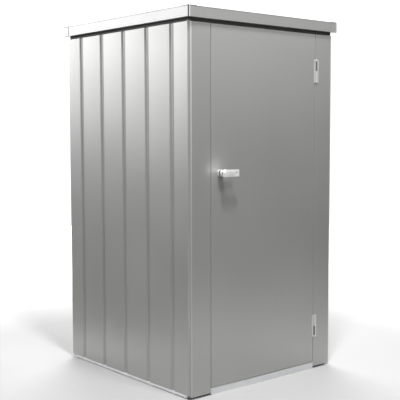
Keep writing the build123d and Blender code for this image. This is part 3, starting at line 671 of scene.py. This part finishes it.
cutAway(capPiece, solidFrom("recess", screwRecess()))
roundedEdges(capPiece, handle["capRim"], 3)
for polygon in capPiece.data.polygons:
    polygon.use_smooth = True
screwPiece = newPiece("handle_cap_screw", socketScrew(), "cap_screw_steel_painted_light", "handle",
                      "handle_end_screw")
cutAway(screwPiece, solidFrom("socket", hexagonSocket()))
roundedEdges(screwPiece, endScrew["socketEdge"])
print("handle made")

# the sheets that get a softly bent copy, by the rounding of their cut edges
sheets = {
    0.00025: ("wall_left", "wall_right", "wall_rear", "jamb_left", "jamb_right", "door_skin", "roof_panel"),
    0.0003: ("fascia_front", "fascia_rear", "fascia_left", "fascia_right", "roof_corner_front_left",
             "roof_corner_front_right", "roof_corner_rear_left", "roof_corner_rear_right"),
    0.0004: ("upper_hinge_jamb_leaf", "lower_hinge_jamb_leaf", "upper_hinge_door_leaf",
             "lower_hinge_door_leaf", "base_sill_front"),
}
wallFoot = {
    "below": 0.0105,                  # what lies lower than this is the foot of a wall
    "lift": 0.0065,                   # the photo's walls end this much higher than the CAD's
}
# the nodes that don't take the finish of their slot
otherFinish = {
    "wall_left": "wall_paint_painted_shade",
    "wall_right": "wall_paint_painted_shade",
    "jamb_left": "jamb_paint_painted_highlight",
    "jamb_right": "jamb_paint_painted_highlight",
    "base_rail_left": "base_aluminium_long_painted_light",
    "base_rail_right": "base_aluminium_long_painted_light",
    "hinge_bushes": "bush_polymer",
    "roof_vent_strip": "strip_polymer_painted_shade",
}
for side in ("front", "rear", "left", "right"):
    otherFinish["fascia_" + side] = "fascia_paint_painted_shade"
for corner in ("front_left", "front_right", "rear_left", "rear_right"):
    otherFinish["roof_corner_" + corner] = "cap_paint_seam_and_painted_light"
slots = {name: node.material_slots[0].material.name.split(".")[0] for name, node in nodes.items()}


def finishOf(name):
    return otherFinish.get(name, slots[name])


def softSheet(name, edge):
    # the CAD sheet with its loose triangles joined, shaded softly round its bends
    bm = bmesh.new()
    bm.from_mesh(nodes[name].data)
    for layer in list(bm.loops.layers.uv.values()):
        bm.loops.layers.uv.remove(layer)
    bmesh.ops.remove_doubles(bm, verts=bm.verts, dist=mergeReach)
    bmesh.ops.dissolve_limit(bm, angle_limit=flatAngle, verts=bm.verts, edges=bm.edges,
                             use_dissolve_boundaries=False, delimit=set())
    if name.startswith("wall"):
        for vertex in bm.verts:
            if vertex.co.z < wallFoot["below"]:
                vertex.co.z += wallFoot["lift"]
    shadedByAngle(bm)
    piece = newPiece(name + "_sheet", bm, finishOf(name), bodyOfNode[name], name)
    if "custom_normal" in piece.data.attributes:
        piece.data.attributes.remove(piece.data.attributes["custom_normal"])
    roundedEdges(piece, edge)


for edge, names in sheets.items():
    for name in names:
        softSheet(name, edge)
print("sheets made:", sum(len(names) for names in sheets.values()))

for name, node in nodes.items():
    for slot in node.material_slots:
        slot.material = finishes[finishOf(name)]
print("finishes given to", len(nodes), "nodes")

# the floor's tone follows the camera's view: painted light where it is seen past the cabinet, painted shade
# outside the view
paleFloor = {
    "radius": 7.0,
    "drop": 0.0006,
    "specular": 0.3,
    "clouds": (3.0, 4.0, 0.5),
    "cloudTone": (0.5122, 0.5122, 0.5122),
    "tone": (0.52, 0.52, 0.52),
    "behind": (0.90, 0.90, 0.90),     # painted light: paler where the camera sees the floor past the cabinet
    "unseen": (0.15, 0.15, 0.15),     # painted shade: darker left and right of the camera's view
    "farFrom": (1.3, 3.2),            # distances over which near gives way to far
    "pastLeft": ((-0.894, 0.448, 0), 1.05, 1.45),     # square to an edge of the view: where the unseen
    "pastRight": ((0.596, -0.803, 0), 1.06, 1.46),    # part starts and is full
    "gloss": (0.75, 0.85),
}


def floorFinish(values):
    material, tree, shader, place = emptyFinish("paleFloor", 0.0, values["specular"])
    even = stretched(tree, place)
    cloud = noiseOn(tree, even, *values["clouds"])
    reach = addNode(tree, "ShaderNodeVectorMath", operation="LENGTH")
    joined(tree, even, "Vector", reach, "Vector")
    pastLeft = towards(tree, even, "Vector", *values["pastLeft"])
    pastRight = towards(tree, even, "Vector", *values["pastRight"])
    near = blended(tree, cloud, values["cloudTone"], values["tone"], "Fac")
    near = blended(tree, pastLeft, near, values["unseen"])
    far = blended(tree, combined(tree, pastLeft, pastRight, "MAXIMUM"), values["behind"], values["unseen"])
    coloured(tree, shader, blended(tree, ranged(tree, reach, "Value", *values["farFrom"], 0, 1), near, far))
    glossed(tree, shader, cloud, "Fac", narrowSpan, values["gloss"])
    return material


floorMesh = bmesh.new()
bmesh.ops.create_circle(floorMesh, cap_ends=True, segments=128, radius=paleFloor["radius"],
                        matrix=Matrix.Translation((0, 0, -paleFloor["drop"])))
floor = solidFrom("floor", floorMesh)
floor.data.materials.append(floorFinish(paleFloor))

# each panel is a direction, and how near to it the panel starts and is full; heights are of the direction
room = {
    "front": (0.93, 0.93, 0.92),
    "frontLow": (0.05, 0.05, 0.05),   # level with the floor's far edge
    "backLeft": (6.4, 6.43, 6.46),    # the bright panel that the left side mirrors
    "backLeftLow": (0.18, 0.18, 0.18),
    "backLeftPanel": ((-0.42, 0.907, 0), 0.70, 0.99),
    "frontLeft": (1.00, 1.00, 1.00),
    "frontLeftLow": (0.45, 0.45, 0.45),
    "frontLeftPanel": ((-0.87, -0.49, 0), 0.60, 0.90),
    "left": (3.2, 3.2, 3.2),
    "leftPanel": ((-0.94, 0.34, 0), 0.86, 0.97),
    "behind": (1.25, 1.25, 1.25),     # what the camera sees past the cabinet
    "behindPanel": ((0.645, 0.765, 0), 0.86, 0.94),
    "lowUntil": (-0.03, 0.15),
    "ceiling": (0.18, 0.18, 0.18),
    "ceilingFrom": (0.21, 0.42),
}


def softRoom(values):
    # a pale room whose brightness depends on the direction, blurred by the finishes that mirror it
    world = bpy.data.worlds.new("studio")
    bpy.context.scene.world = world
    world.use_nodes = True
    tree = world.node_tree
    tree.nodes.clear()
    output = tree.nodes.new("ShaderNodeOutputWorld")
    background = addNode(tree, "ShaderNodeBackground", {"Strength": 1.0})
    joined(tree, background, "Background", output, "Surface")
    place = tree.nodes.new("ShaderNodeTexCoord")
    direction = tree.nodes.new("ShaderNodeSeparateXYZ")
    joined(tree, place, "Generated", direction, "Vector")
    backLeft, frontLeft, left, behind = (towards(tree, place, "Generated", *values[panel])
                                         for panel in ("backLeftPanel", "frontLeftPanel", "leftPanel",
                                                       "behindPanel"))
    high = blended(tree, backLeft, values["front"], values["backLeft"])
    high = blended(tree, frontLeft, high, values["frontLeft"])
    high = blended(tree, left, high, values["left"])
    low = blended(tree, backLeft, values["frontLow"], values["backLeftLow"])
    low = blended(tree, frontLeft, low, values["frontLeftLow"])
    walls = blended(tree, ranged(tree, direction, "Z", *values["lowUntil"], 0, 1), low, high)
    walls = blended(tree, ranged(tree, direction, "Z", *values["ceilingFrom"], 0, 1), walls,
                    values["ceiling"])
    joined(tree, blended(tree, behind, walls, values["behind"]), mixResult, background, "Color")


softRoom(room)

# power in watts; the glow is the bright spot on the jamb and the door beside the handle
lamps = {
    "keyLight": {"place": (-0.2, -3.45, 4.85), "target": (-0.3, -0.5, 1.0), "size": 0.8, "power": 114},
    "highLight": {"place": (-0.9, -1.53, 4.0), "target": (-0.3, -0.5, 1.0), "size": 0.45, "power": 122},
    "glow": {"place": (-0.327, -0.572, 1.086), "target": (-0.327, -0.521, 1.083), "size": 0.035,
             "power": 0.026, "mirrored": False},
    "backgroundLight": {"place": (3.3, 4.8, 3.8), "target": (3.3, 4.8, 0), "size": 5.0, "power": 760},
}
for name, lamp in lamps.items():
    light = bpy.data.lights.new(name, "AREA")
    light.shape = "SQUARE"
    light.size = lamp["size"]
    light.energy = lamp["power"]
    softBox = bpy.data.objects.new(name, light)
    bpy.context.scene.collection.objects.link(softBox)
    softBox.location = lamp["place"]
    ray = Vector(lamp["target"]) - Vector(lamp["place"])
    softBox.rotation_euler = ray.to_track_quat("-Z", "Y").to_euler()
    softBox.visible_camera = False
    softBox.visible_glossy = lamp.get("mirrored", True)
print("studio lit")
